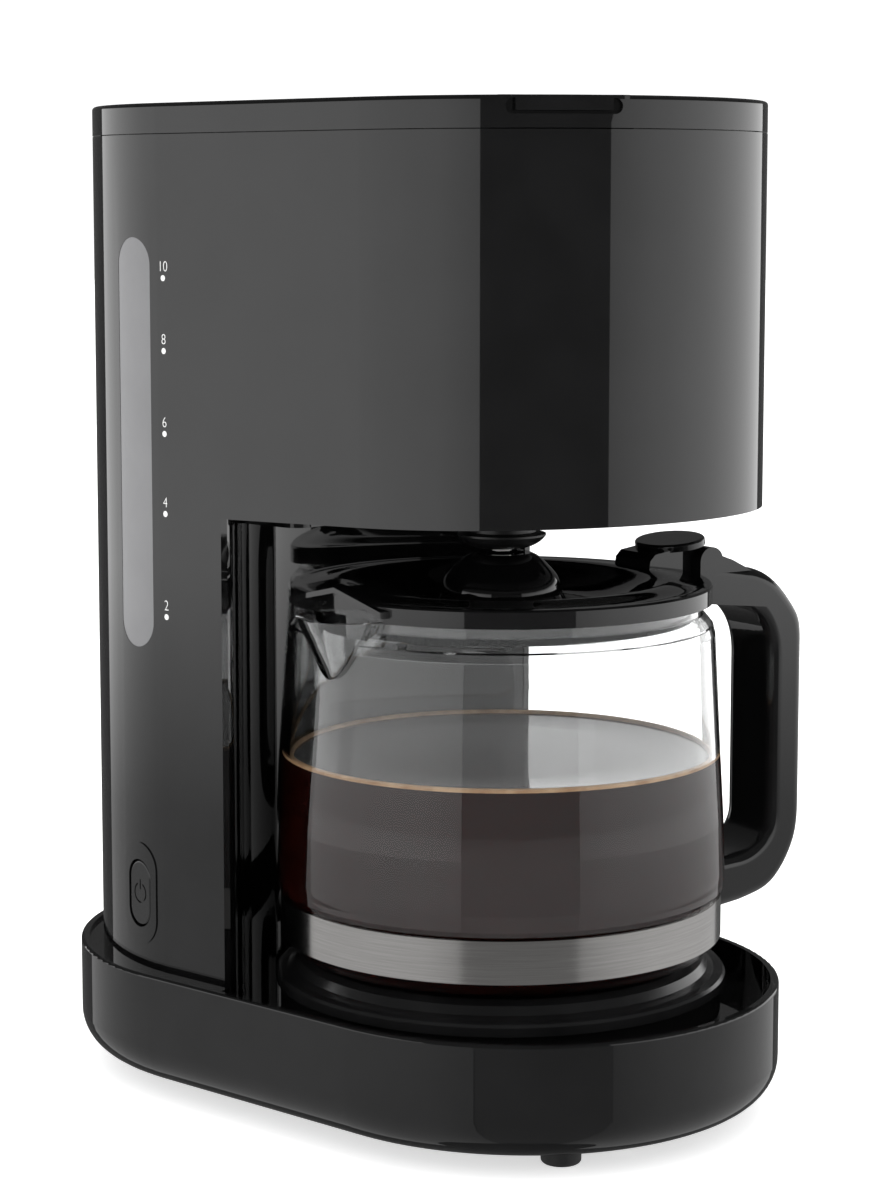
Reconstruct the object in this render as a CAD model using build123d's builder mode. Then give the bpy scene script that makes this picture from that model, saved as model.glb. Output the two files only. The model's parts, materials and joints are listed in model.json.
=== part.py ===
from build123d import *

import os
from math import cos, radians, sin, sqrt

# Drip coffee maker, in millimetres. The origin is on the worktop, under the middle of the base.
# +Z is up, -Y is the front, where the carafe stands, and +X is the right as seen from the front.

# Body and base: both are capsule-shaped in plan, round at the front and the rear.
ARC_Y = 41.75  # from the origin to the centre of each round end
BODY_R = 73.0
BASE_R = 80.2
WALL = 2.6
FOOT_H = 5.0
RIM_Z = 40.6
DECK_Z = 39.5
SEAM_Z = 299.1
LID_Z = 299.4
LID_TOP_Z = 308.5

# Carafe bay
CARAFE_Y = -33.65
NICHE_R = 82.0
NICHE_T = 2.4
NICHE_EDGE_X = 60.5
COLUMN_FRONT_Y = 15.05
BAY_TOP_Z = 184.5
HEAD_SLOPE = 0.0284
HEAD_FLOOR_Z = 190.0

# Base details
BASE_ROUND = 12.0
TROUGH_Z = 30.0
PEDESTAL_R = 68.8
PEDESTAL_Z = 39.4
PLATE_R = 70.2
PLATE_TOP_Z = 47.2
PLATE_SHEET = 1.2
BOTTOM_R = 65.8
BOTTOM_T = 2.5
FOOT_R = 6.0
FOOT_RING = 61.5
FOOT_STUD_R = 2.5
BOSS_R = 4.5
CORD_Z = 24.0
CORD_BUSH_R = 6.0
CORD_HOLE_R = 3.6

# Heater
HEATER_Z = 36.0
HEATER_TOP_Z = PLATE_TOP_Z - PLATE_SHEET
WATER_R = 45.0
ROD_R = 35.0
HEATER_MID_Z = 41.0
LEG_END_Y = CARAFE_Y + 30.0
SPIGOT_Y = LEG_END_Y - 6.0
SPIGOT_L = 6.0
ARM_OFFSET = (WATER_R + ROD_R) / 2 * cos(radians(45))

# Water path
SHELF_Z = 122.0
SHELF_T = 2.4
TANK_TOP_Z = 290.0
TANK_WALL = 2.0
TANK_GAP = 1.2
INLET_X = -24.0
INLET_Y = 84.0
RISER_Y = 62.0
RISER_Z = 288.0
RISER_LOW_Z = 62.0
VALVE_TOP_Z = 114.0
VALVE_H = 14.0
HOSE_Z = 15.0
HOSE_BEND = 14.0
HOSE_BORE_R = 4.0

# Level window and power button, on the left rear side
SIDE_ANGLE = 9.2
WINDOW_Z = 205.0
WINDOW_H = 126.4
PILL_W = 17.0
BUTTON_Z = 63.6
BEZEL_H = 32.5
BUTTON_W = 11.2
BUTTON_H = 20.8
BUTTON_DEEP = 9.0
SYMBOL_R = 3.3
SYMBOL_LINE = 0.55

# Lid hinge, behind the body
HINGE_Y = 118.4
HINGE_Z = 301.0
HINGE_R = 3.2
PIN_R = 1.4
RUNNING_GAP = 0.05
LID_WALL = 2.4
INNER_Z = 296.5
INNER_T = 2.0
TAB_ANGLE = 48.7
TAB_W = 33.0
TAB_LIP_W = 27.5
SPREADER_R = 25.0
SPREADER_Z = 284.0
SPREADER_T = 1.6

# Carafe
GLASS_Z = 47.25
GLASS_T = 2.2
BAND_R = 67.9
BAND_Z = 53.7
BAND_H = 12.9
HANDLE_ANGLE = -15.0
SPOUT_ANGLE = 170.0
HANDLE_W = 24.0
HANDLE_ROUND = 3.5
EAR_X = 9.7
KNUCKLE_W = 14.0
KNUCKLE_R = 4.2
CARAFE_PIN_R = 73.5
CARAFE_PIN_Z = 165.0
SPOUT_TIP_R = 74.5
SPOUT_LOW_Z = 138.0
GLASS_RIM_Z = 157.0
SCREW_HEAD_R = 89.0
LID_RIM_R = 65.0
LID_LOW_Z = 157.3
LID_HIGH_Z = 162.8
DOME_Z = 171.8
DOME_HOLE_R = 7.3
THUMB_R = 66.0
THUMB_Z = 169.6
THUMB_RISE = 0.16
HOOD_BACK_R = 46.0
HOOD_R = 64.6
HOOD_W = 22.5
HOOD_Z = 160.2
HOOD_TOP_Z = 166.2
HOOD_T = 1.6
HOOD_CUT_W = 20.0
HOOD_CUT_R = 59.2
LEVER_W = 18.0
THUMB_LONG = 10.0
THUMB_WIDE = 13.0

# Filter basket and its drip stop
BASKET_RIM_Z = 272.0
BASKET_Z = 192.7
SPIGOT_TIP_Z = 173.3
VALVE_TIP_Z = 172.4
SEAT_Z = 181.0
SPIGOT_R = 10.7
SAUCER_R = 13.7
SAUCER_Z = 177.2
BASKET_FOOT_R = 43.0
BASKET_TOP_R = 56.0
BASKET_T = 2.0
SEAL_OPEN = 3.6
CAGE_Z = 191.0
SPRING_WIRE = 0.35

carafe_axis = Axis((0, CARAFE_Y, 0), (0, 0, 1))
carafe_section = Plane(origin=(0, CARAFE_Y, 0), x_dir=(1, 0, 0), z_dir=(0, -1, 0))
handle_x = cos(radians(HANDLE_ANGLE))
handle_y = sin(radians(HANDLE_ANGLE))
handle_plane = Plane(
    origin=(0, CARAFE_Y, 0), x_dir=(handle_x, handle_y, 0), z_dir=(handle_y, -handle_x, 0)
)
radial_plane = Plane(
    origin=(0, CARAFE_Y, 60), x_dir=(-handle_y, handle_x, 0), z_dir=(handle_x, handle_y, 0)
)
side_x = -cos(radians(SIDE_ANGLE))
side_y = sin(radians(SIDE_ANGLE))
side_plane = Plane(
    origin=(BODY_R * side_x, ARC_Y + BODY_R * side_y, 0),
    x_dir=(-side_y, side_x, 0),
    z_dir=(side_x, side_y, 0),
)

os.makedirs("parts", exist_ok=True)


def stadium(radius, mode=Mode.ADD):
    """Adds the capsule-shaped outline that the body and the base share."""
    return SlotCenterToCenter(2 * ARC_Y, 2 * radius, rotation=90, mode=mode)


def save(piece, label):
    """Names a finished piece and writes it to its own file."""
    piece.part.label = label
    export_step(piece.part, f"parts/{label}.step")


# Plan of the carafe bay: the concave back wall, its lead-ins, and the open space in front.
niche_edge_y = CARAFE_Y + sqrt(NICHE_R**2 - NICHE_EDGE_X**2)
with BuildSketch() as bay_plan:
    with BuildLine():
        back = ThreePointArc(
            (-NICHE_EDGE_X, niche_edge_y), (0, CARAFE_Y + NICHE_R), (NICHE_EDGE_X, niche_edge_y)
        )
        right = TangentArc(back @ 1, (BODY_R, COLUMN_FRONT_Y), tangent=back % 1)
        left = TangentArc(back @ 0, (-BODY_R, COLUMN_FRONT_Y), tangent=-(back % 0))
        Polyline(
            right @ 1,
            (100, COLUMN_FRONT_Y),
            (100, -160),
            (-100, -160),
            (-100, COLUMN_FRONT_Y),
            left @ 1,
        )
    make_face()


def bay(grow, mode):
    """Puts the bay, grown by a wall's thickness, into the sketch in hand: SUBTRACT or INTERSECT."""
    grown = bay_plan.sketch if grow == 0 else offset(bay_plan.sketch, grow, mode=Mode.PRIVATE)
    add(grown, mode=mode)


# Base: the cavity is made first, as a plain solid that the tray is hollowed with.
with BuildPart() as tray_cavity:
    with BuildSketch(Plane.XY.offset(FOOT_H)):
        stadium(BASE_R - WALL)
    extrude(amount=RIM_Z - FOOT_H)
    fillet(tray_cavity.edges().group_by(Axis.Z)[0], BASE_ROUND - 0.4)

boss_points = [(20, -98.3), (-20, -98.3), (40, 86.5), (-40, 86.5)]
rear_y = ARC_Y + BASE_R
with BuildPart() as base_tray:
    with BuildSketch(Plane.XY.offset(FOOT_H)):
        stadium(BASE_R)
    extrude(amount=RIM_Z - FOOT_H)
    fillet(base_tray.edges().group_by(Axis.Z)[0], BASE_ROUND)
    fillet(base_tray.edges().group_by(Axis.Z)[-1], 0.9)
    add(tray_cavity.part, mode=Mode.SUBTRACT)
    # the deck under the column and round it, one millimetre below the rim
    with BuildSketch(Plane.XY.offset(DECK_Z - WALL)):
        stadium(BASE_R - 1.2)
        bay(0, Mode.SUBTRACT)
    extrude(amount=WALL)
    # the trough round the hot plate and the wall up to the deck
    with BuildSketch(Plane.XY.offset(TROUGH_Z - WALL)):
        stadium(BASE_R - 1.2)
        bay(WALL, Mode.INTERSECT)
    extrude(amount=WALL)
    with BuildSketch(Plane.XY.offset(TROUGH_Z - WALL)):
        stadium(BASE_R - 1.2)
        bay(WALL, Mode.INTERSECT)
        bay(0, Mode.SUBTRACT)
    extrude(amount=DECK_Z - TROUGH_Z + WALL)
    with Locations((0, CARAFE_Y, TROUGH_Z - WALL)):
        Cylinder(PEDESTAL_R, PEDESTAL_Z - TROUGH_Z + WALL, align=(Align.CENTER, Align.CENTER, Align.MIN))
    with BuildSketch(Plane.XY.offset(FOOT_H + BOTTOM_T)):
        with Locations(*boss_points):
            Circle(BOSS_R)
    extrude(amount=TROUGH_Z - FOOT_H - BOTTOM_T)
    with BuildSketch(Plane.XY.offset(TROUGH_Z - WALL)):
        with Locations(*boss_points[2:]):
            Circle(BOSS_R)
    extrude(amount=DECK_Z - TROUGH_Z)
    with Locations((0, CARAFE_Y, TROUGH_Z - 2 * WALL)):
        Cylinder(PEDESTAL_R - WALL, 20, align=(Align.CENTER, Align.CENTER, Align.MIN), mode=Mode.SUBTRACT)
    with BuildSketch(Plane.XY.offset(FOOT_H + BOTTOM_T)):
        with Locations(*boss_points):
            Circle(1.6)
    extrude(amount=15, mode=Mode.SUBTRACT)
    # the way up into the column for the two hoses, and the cord's hole
    with Locations((0, 77, DECK_Z)):
        Box(66, 44, 4 * WALL, mode=Mode.SUBTRACT)
    with Locations(Location((0, rear_y, CORD_Z), (90, 0, 0))):
        Cylinder(CORD_BUSH_R, 16, mode=Mode.SUBTRACT)
save(base_tray, "base_tray")

foot_points = []
for side in (-1, 1):
    foot_points.append((side * FOOT_RING * 0.629, -ARC_Y - FOOT_RING * 0.777))
    foot_points.append((side * FOOT_RING * 0.85, ARC_Y + FOOT_RING * 0.527))

with BuildPart() as bottom_plate:
    with BuildSketch(Plane.XY.offset(FOOT_H)):
        stadium(BOTTOM_R)
        with Locations(*boss_points):
            Circle(1.7, mode=Mode.SUBTRACT)
        with Locations(*foot_points):
            Circle(FOOT_STUD_R, mode=Mode.SUBTRACT)
        with Locations((0, CARAFE_Y)):
            with GridLocations(9, 0, 7, 1):
                SlotOverall(34, 3, rotation=90, mode=Mode.SUBTRACT)
    extrude(amount=BOTTOM_T)
save(bottom_plate, "bottom_plate")

with BuildPart() as feet:
    with BuildSketch():
        with Locations(*foot_points):
            Circle(FOOT_R)
    extrude(amount=FOOT_H)
    fillet(feet.edges().group_by(Axis.Z)[0], 1.2)
    with BuildSketch(Plane.XY.offset(FOOT_H)):
        with Locations(*foot_points):
            Circle(FOOT_STUD_R)
    extrude(amount=BOTTOM_T)
save(feet, "feet")

with BuildPart() as bottom_screws:
    with BuildSketch(Plane.XY.offset(FOOT_H - 1.8)):
        with Locations(*boss_points):
            Circle(3.2)
    extrude(amount=1.8)
    with BuildSketch(Plane.XY.offset(FOOT_H)):
        with Locations(*boss_points):
            Circle(1.6)
    extrude(amount=14)
    with BuildSketch(Plane.XY.offset(FOOT_H - 1.8)):
        with Locations(*boss_points):
            Rectangle(4, 0.8)
            Rectangle(0.8, 4)
    extrude(amount=1, mode=Mode.SUBTRACT)
save(bottom_screws, "bottom_screws")

with BuildPart() as cord_bush:
    with Locations(Location((0, rear_y, CORD_Z), (90, 0, 0))):
        Cylinder(CORD_BUSH_R, 8)
        with Locations((0, 0, 4.6)):
            Cylinder(CORD_BUSH_R + 2, 2)
        Cylinder(CORD_HOLE_R, 20, mode=Mode.SUBTRACT)
    split(bisect_by=Plane(origin=(0, rear_y - 0.4, 0), z_dir=(0, 1, 0)), keep=Keep.BOTTOM)
save(cord_bush, "cord_bush")

# Hot plate and heater
with BuildPart() as hot_plate:
    with BuildSketch(carafe_section):
        with BuildLine():
            Polyline(
                (0, HEATER_TOP_Z),
                (0, PLATE_TOP_Z),
                (60.5, PLATE_TOP_Z),
                (63.2, PLATE_TOP_Z - 1.3),
                (64.6, 43.4),
                (66.6, 42.4),
                (69.4, 42.1),
                (PLATE_R, 41.3),
                (PLATE_R, 38.6),
                (69.0, 38.6),
                (69.0, 40.9),
                (63.4, 40.9),
                (62.0, 44.8),
                (60.0, HEATER_TOP_Z),
                close=True,
            )
        make_face()
    revolve(axis=carafe_axis)
save(hot_plate, "hot_plate")

with BuildPart() as plate_seal:
    with BuildSketch(Plane.XY.offset(PEDESTAL_Z)):
        with Locations((0, CARAFE_Y)):
            Circle(PEDESTAL_R)
            Circle(PEDESTAL_R - 4.6, mode=Mode.SUBTRACT)
    extrude(amount=1.5)
save(plate_seal, "plate_seal")


def horseshoe(radius, end_y):
    """Draws the heater's U, round the front of the plate, with both legs going back to end_y."""
    front = CenterArc((0, CARAFE_Y), radius, 180, 180)
    Line(front @ 0, (-radius, end_y))
    Line(front @ 1, (radius, end_y))


with BuildPart() as heater_tube:
    with BuildSketch(Plane.XY.offset(HEATER_Z)):
        with Locations((0, CARAFE_Y)):
            Circle(WATER_R + 5)
            Circle(ROD_R - 5, mode=Mode.SUBTRACT)
            with Locations((0, 100)):
                Rectangle(200, 200, mode=Mode.SUBTRACT)
        for side in (-1, 1):
            with Locations((side * (WATER_R + ROD_R) / 2, (CARAFE_Y + LEG_END_Y) / 2)):
                Rectangle(20, LEG_END_Y - CARAFE_Y)
    extrude(amount=HEATER_TOP_Z - HEATER_Z)
    with BuildSketch(Plane.XY.offset(HEATER_Z - SPIGOT_L)):
        with Locations((-WATER_R, SPIGOT_Y), (WATER_R, SPIGOT_Y)):
            Circle(4)
    extrude(amount=SPIGOT_L)
    with BuildSketch(Plane.XY.offset(HEATER_Z - SPIGOT_L)):
        with Locations((-WATER_R, SPIGOT_Y), (WATER_R, SPIGOT_Y)):
            Circle(3)
    extrude(amount=SPIGOT_L + HEATER_MID_Z - HEATER_Z, mode=Mode.SUBTRACT)
    for radius, bore, end_y in ((WATER_R, 3.6, SPIGOT_Y), (ROD_R, 3.25, LEG_END_Y + 1)):
        with BuildLine(Plane.XY.offset(HEATER_MID_Z)) as channel:
            horseshoe(radius, end_y)
        with BuildSketch(Plane(origin=(radius, end_y, HEATER_MID_Z), z_dir=(0, 1, 0))):
            Circle(bore)
        sweep(path=channel.wire(), mode=Mode.SUBTRACT)
save(heater_tube, "heater_tube")

with BuildPart() as heater_rod:
    with BuildLine(Plane.XY.offset(HEATER_MID_Z)) as rod_line:
        horseshoe(ROD_R, LEG_END_Y + 9)
    with BuildSketch(Plane(origin=(ROD_R, LEG_END_Y + 9, HEATER_MID_Z), z_dir=(0, 1, 0))):
        Circle(3.2)
    sweep(path=rod_line.wire())
    with BuildSketch(Plane(origin=(0, LEG_END_Y + 9, HEATER_MID_Z), x_dir=(1, 0, 0), z_dir=(0, 1, 0))):
        with Locations((-ROD_R, 0), (ROD_R, 0)):
            Circle(1.2)
    extrude(amount=7)
save(heater_rod, "heater_rod")

with BuildPart() as heater_strap:
    with BuildSketch(Plane.XY.offset(HEATER_Z - 1.5)):
        with Locations((0, CARAFE_Y)):
            SlotOverall(100, 14)
            Circle(2.1, mode=Mode.SUBTRACT)
    extrude(amount=1.5)
save(heater_strap, "heater_strap")

with BuildPart() as strap_stud:
    with Locations((0, CARAFE_Y, 27)):
        Cylinder(2, HEATER_TOP_Z - 27, align=(Align.CENTER, Align.CENTER, Align.MIN))
save(strap_stud, "strap_stud")

with BuildPart() as strap_nut:
    with BuildSketch(Plane.XY.offset(HEATER_Z - 4.7)):
        with Locations((0, CARAFE_Y)):
            RegularPolygon(4, 6)
            Circle(2, mode=Mode.SUBTRACT)
    extrude(amount=3.2)
save(strap_nut, "strap_nut")

with BuildPart() as thermostat:
    with Locations((-ARM_OFFSET, CARAFE_Y - ARM_OFFSET, HEATER_Z - 6)):
        Cylinder(7.5, 6, align=(Align.CENTER, Align.CENTER, Align.MIN))
        with Locations((0, 4, 0), (0, -4, 0)):
            Box(6.3, 0.8, 7, align=(Align.CENTER, Align.CENTER, Align.MAX))
save(thermostat, "thermostat")

with BuildPart() as thermal_fuse:
    with Locations(Location((ARM_OFFSET, CARAFE_Y - ARM_OFFSET, HEATER_Z - 2.2), (0, 90, 45))):
        Cylinder(2.2, 14)
        Cylinder(0.6, 24)
save(thermal_fuse, "thermal_fuse")

# Water path: tank, hoses, valve and riser
with BuildPart() as tank_shelf:
    with BuildSketch(Plane.XY.offset(SHELF_Z)):
        stadium(BODY_R - WALL)
        bay(NICHE_T, Mode.SUBTRACT)
        with Locations((INLET_X, INLET_Y)):
            Circle(7, mode=Mode.SUBTRACT)
        with Locations((0, RISER_Y)):
            Circle(5, mode=Mode.SUBTRACT)
    extrude(amount=SHELF_T)
save(tank_shelf, "tank_shelf")

with BuildPart() as tank_grommet:
    with BuildSketch(Plane.XY.offset(SHELF_Z)):
        with Locations((INLET_X, INLET_Y)):
            Circle(7)
            Circle(4, mode=Mode.SUBTRACT)
    extrude(amount=SHELF_T)
    with BuildSketch(Plane.XY.offset(SHELF_Z - 1.6)):
        with Locations((INLET_X, INLET_Y)):
            Circle(9)
            Circle(4, mode=Mode.SUBTRACT)
    extrude(amount=1.6)
save(tank_grommet, "tank_grommet")

tank_z = SHELF_Z + SHELF_T
with BuildPart() as water_tank:
    with BuildSketch(Plane.XY.offset(tank_z)) as tank_outline:
        stadium(BODY_R - WALL - 1)
        bay(NICHE_T + TANK_GAP, Mode.SUBTRACT)
        with Locations((0, RISER_Y - 10)):
            SlotOverall(36, 14, rotation=90, mode=Mode.SUBTRACT)
    extrude(amount=TANK_TOP_Z - tank_z)
    with BuildSketch(Plane.XY.offset(tank_z + TANK_WALL)):
        add(offset(tank_outline.sketch_local, -TANK_WALL, mode=Mode.PRIVATE))
    extrude(amount=TANK_TOP_Z, mode=Mode.SUBTRACT)
    with Locations((INLET_X, INLET_Y, tank_z)):
        Cylinder(4, 16, align=(Align.CENTER, Align.CENTER, Align.MAX))
        with Locations((0, 0, -16)):
            Cylinder(2.8, 22, align=(Align.CENTER, Align.CENTER, Align.MIN), mode=Mode.SUBTRACT)
save(water_tank, "water_tank")

with BuildPart() as check_valve:
    with Locations((INLET_X, INLET_Y, VALVE_TOP_Z)):
        Cylinder(6.5, VALVE_H, align=(Align.CENTER, Align.CENTER, Align.MAX))
        with Locations((0, 0, -VALVE_H)):
            Cylinder(4, 12, align=(Align.CENTER, Align.CENTER, Align.MAX))
        Cylinder(4, 6, align=(Align.CENTER, Align.CENTER, Align.MAX), mode=Mode.SUBTRACT)
        Cylinder(2.4, 30, align=(Align.CENTER, Align.CENTER, Align.MAX), mode=Mode.SUBTRACT)
save(check_valve, "check_valve")


def hose(*points):
    """Sweeps a silicone hose along straight runs joined by arcs."""
    with BuildPart() as piece:
        with BuildLine() as route:
            FilletPolyline(*points, radius=HOSE_BEND)
        with BuildSketch(Plane(origin=route.wire() @ 0, z_dir=route.wire() % 0)):
            Circle(HOSE_BORE_R + 2)
            Circle(HOSE_BORE_R, mode=Mode.SUBTRACT)
        sweep(path=route.wire())
    return piece


inlet_hose = hose(
    (-WATER_R, SPIGOT_Y, HEATER_Z - 1),
    (-WATER_R, SPIGOT_Y, HOSE_Z),
    (INLET_X, INLET_Y, HOSE_Z),
    (INLET_X, INLET_Y, VALVE_TOP_Z - VALVE_H),
)
save(inlet_hose, "inlet_hose")

outlet_hose = hose(
    (WATER_R, SPIGOT_Y, HEATER_Z - 1),
    (WATER_R, SPIGOT_Y, HOSE_Z),
    (0, RISER_Y, HOSE_Z),
    (0, RISER_Y, RISER_LOW_Z + 12),
)
save(outlet_hose, "outlet_hose")

with BuildPart() as riser_tube:
    with BuildLine() as riser_line:
        FilletPolyline(
            (0, RISER_Y, RISER_LOW_Z), (0, RISER_Y, RISER_Z), (0, RISER_Y - 21.5, RISER_Z), radius=9
        )
    with BuildSketch(Plane.XY.offset(RISER_LOW_Z)):
        with Locations((0, RISER_Y)):
            Circle(4)
            Circle(2.8, mode=Mode.SUBTRACT)
    sweep(path=riser_line.wire())
save(riser_tube, "riser_tube")

# Column and head: one outer wall, open at the carafe bay, with a slanted lower edge on the head
with BuildPart() as body_shell:
    with BuildSketch(Plane.XY.offset(DECK_Z)):
        stadium(BODY_R)
        stadium(BODY_R - WALL, mode=Mode.SUBTRACT)
    extrude(amount=SEAM_Z - DECK_Z)
    front_y = -130
    with BuildSketch(Plane.YZ) as bay_side:
        with BuildLine():
            Polyline(
                (front_y, 0),
                (COLUMN_FRONT_Y, 0),
                (COLUMN_FRONT_Y, BAY_TOP_Z),
                (front_y, BAY_TOP_Z + HEAD_SLOPE * (COLUMN_FRONT_Y - front_y)),
                close=True,
            )
        make_face()
        fillet(bay_side.vertices().filter_by(lambda v: v.Y > 0 and v.Z > 100), 10)
    extrude(amount=100, both=True, mode=Mode.SUBTRACT)
    # openings for the level window, the bezel and the hinge lug behind
    for height, length in ((WINDOW_Z, WINDOW_H), (BUTTON_Z, BEZEL_H)):
        with BuildSketch(side_plane):
            with Locations((0, height)):
                SlotOverall(length, PILL_W, rotation=90)
        extrude(amount=12, both=True, mode=Mode.SUBTRACT)
    with BuildSketch(Plane.YZ):
        with BuildLine():
            Polyline(
                (ARC_Y + BODY_R - 1.5, 286),
                (HINGE_Y + HINGE_R, HINGE_Z - 1),
                (HINGE_Y + HINGE_R, HINGE_Z),
                (HINGE_Y - 1.5, HINGE_Z),
                (HINGE_Y - 3.0, 298.4),
                (ARC_Y + BODY_R - 1.5, 298.4),
                close=True,
            )
        make_face()
        with Locations((HINGE_Y, HINGE_Z)):
            Circle(HINGE_R)
            Circle(PIN_R, mode=Mode.SUBTRACT)
    extrude(amount=7.6, both=True)
save(body_shell, "body_shell")

with BuildPart() as niche_panel:
    with BuildSketch(Plane.XY.offset(DECK_Z)):
        stadium(BODY_R - WALL)
        bay(NICHE_T, Mode.INTERSECT)
        bay(0, Mode.SUBTRACT)
    extrude(amount=HEAD_FLOOR_Z - DECK_Z)
save(niche_panel, "niche_panel")

with BuildPart() as head_floor:
    with BuildSketch(Plane.XY.offset(HEAD_FLOOR_Z)):
        stadium(BODY_R - WALL)
        bay(NICHE_T, Mode.INTERSECT)
    extrude(amount=2.4)
    # the bar behind the drip spigot
    with BuildSketch(Plane.XY.offset(HEAD_FLOOR_Z - 11)):
        with Locations((0, 30)):
            RectangleRounded(84, 34, 6)
        bay(0, Mode.INTERSECT)
    extrude(amount=11)
    # the ring that holds the foot of the filter basket
    with BuildSketch(Plane.XY.offset(HEAD_FLOOR_Z)):
        with Locations((0, CARAFE_Y)):
            Circle(48)
            Circle(46, mode=Mode.SUBTRACT)
    extrude(amount=9)
    with Locations((0, CARAFE_Y, HEAD_FLOOR_Z)):
        Cylinder(SAUCER_R + 0.8, 30, mode=Mode.SUBTRACT)
save(head_floor, "head_floor")

# Level window and power button
with BuildPart() as level_window:
    with BuildSketch(side_plane.offset(-12)):
        with Locations((0, WINDOW_Z)):
            SlotOverall(WINDOW_H, PILL_W, rotation=90)
    extrude(amount=24)
    with BuildSketch():
        stadium(BODY_R - 0.1)
        stadium(BODY_R - WALL, mode=Mode.SUBTRACT)
    extrude(amount=SEAM_Z, mode=Mode.INTERSECT)
save(level_window, "level_window")

with BuildPart() as button_bezel:
    with BuildSketch(side_plane.offset(-13)):
        with Locations((0, BUTTON_Z)):
            SlotOverall(BEZEL_H, PILL_W, rotation=90)
    extrude(amount=26)
    with BuildSketch():
        stadium(BODY_R + 0.4)
        stadium(BODY_R - 13, mode=Mode.SUBTRACT)
    extrude(amount=SEAM_Z, mode=Mode.INTERSECT)
    with BuildSketch(side_plane.offset(-20)):
        with Locations((0, BUTTON_Z)):
            SlotOverall(BUTTON_H + 0.8, BUTTON_W + 0.8, rotation=90)
    extrude(amount=40, mode=Mode.SUBTRACT)
save(button_bezel, "button_bezel")

with BuildPart() as power_button:
    with BuildSketch(side_plane.offset(-BUTTON_DEEP)):
        with Locations((0, BUTTON_Z)):
            SlotOverall(BUTTON_H, BUTTON_W, rotation=90)
    extrude(amount=BUTTON_DEEP)
    fillet(power_button.faces().sort_by(Axis((0, 0, 0), (side_x, side_y, 0)))[-1].edges(), 0.8)
    # engraved standby symbol: a broken ring with a stroke through the gap
    with BuildSketch(side_plane.offset(-0.35)):
        with Locations((0, BUTTON_Z)):
            Circle(SYMBOL_R)
            Circle(SYMBOL_R - SYMBOL_LINE, mode=Mode.SUBTRACT)
            with Locations((0, SYMBOL_R)):
                Rectangle(2.4, 2.4, mode=Mode.SUBTRACT)
            with Locations((0, SYMBOL_R - 0.6)):
                Rectangle(SYMBOL_LINE, 3.2)
    extrude(amount=1, mode=Mode.SUBTRACT)
    # the stem that presses the switch
    with BuildSketch(side_plane.offset(-BUTTON_DEEP)):
        with Locations((0, BUTTON_Z)):
            Circle(1.8)
    extrude(amount=-6)
save(power_button, "power_button")

with BuildPart() as switch_body:
    with BuildSketch(side_plane.offset(-13.2)):
        with Locations((0, BUTTON_Z)):
            Rectangle(14, 26)
    extrude(amount=-14)
    with BuildSketch(side_plane.offset(-13.2)):
        with Locations((0, BUTTON_Z)):
            Circle(2.1)
    extrude(amount=-6, mode=Mode.SUBTRACT)
    with BuildSketch(side_plane.offset(-27.2)):
        with Locations((0, BUTTON_Z - 8), (0, BUTTON_Z), (0, BUTTON_Z + 8)):
            Rectangle(6.3, 0.8)
    extrude(amount=-8)
save(switch_body, "switch_body")

# Main lid, hinged behind the body
tab_x = -cos(radians(TAB_ANGLE))
tab_y = -sin(radians(TAB_ANGLE))
tab_plane = Plane(
    origin=(BODY_R * tab_x, -ARC_Y + BODY_R * tab_y, 0),
    x_dir=(-tab_y, tab_x, 0),
    z_dir=(tab_x, tab_y, 0),
)
with BuildPart() as main_lid:
    with BuildSketch(Plane.XY.offset(LID_Z)):
        stadium(BODY_R)
    extrude(amount=LID_TOP_Z - LID_Z)
    fillet(main_lid.edges().group_by(Axis.Z)[-1], 1.2)
    with BuildSketch(Plane.XY.offset(LID_Z)):
        stadium(BODY_R - LID_WALL)
    extrude(amount=LID_TOP_Z - LID_Z - LID_WALL, mode=Mode.SUBTRACT)
    # finger tab: a pocket in the wall, with a lip standing in it
    with BuildSketch(tab_plane.offset(-6.5)):
        with Locations((0, LID_TOP_Z - 3.2)):
            Rectangle(TAB_W + 4, 6.4)
    extrude(amount=4.5)
    with BuildSketch():
        stadium(BODY_R)
    extrude(amount=LID_TOP_Z, mode=Mode.INTERSECT)
    with BuildSketch(tab_plane.offset(-4.2)):
        with Locations((0, LID_TOP_Z - 3.1)):
            SlotOverall(TAB_W, 4.4)
    extrude(amount=12, mode=Mode.SUBTRACT)
    with BuildSketch(Plane.XY.offset(LID_TOP_Z - 4.3)):
        stadium(BODY_R)
        stadium(BODY_R - 2.0, mode=Mode.SUBTRACT)
        with Locations(Location((BODY_R * tab_x, -ARC_Y + BODY_R * tab_y, 0), (0, 0, TAB_ANGLE))):
            Rectangle(30, TAB_LIP_W, mode=Mode.INTERSECT)
    extrude(amount=3.4)
    # two hinge lugs
    for side in (-1, 1):
        with BuildSketch(Plane.YZ.offset(side * 12)):
            with BuildLine():
                Polyline(
                    (ARC_Y + BODY_R - 4, LID_Z + 1.2),
                    (HINGE_Y, HINGE_Z - 0.5),
                    (HINGE_Y, HINGE_Z + HINGE_R),
                    (ARC_Y + BODY_R - 4, LID_TOP_Z - 1.4),
                    close=True,
                )
            make_face()
            with Locations((HINGE_Y, HINGE_Z)):
                Circle(HINGE_R)
                Circle(PIN_R + RUNNING_GAP, mode=Mode.SUBTRACT)
        extrude(amount=4, both=True)
save(main_lid, "main_lid")

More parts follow.
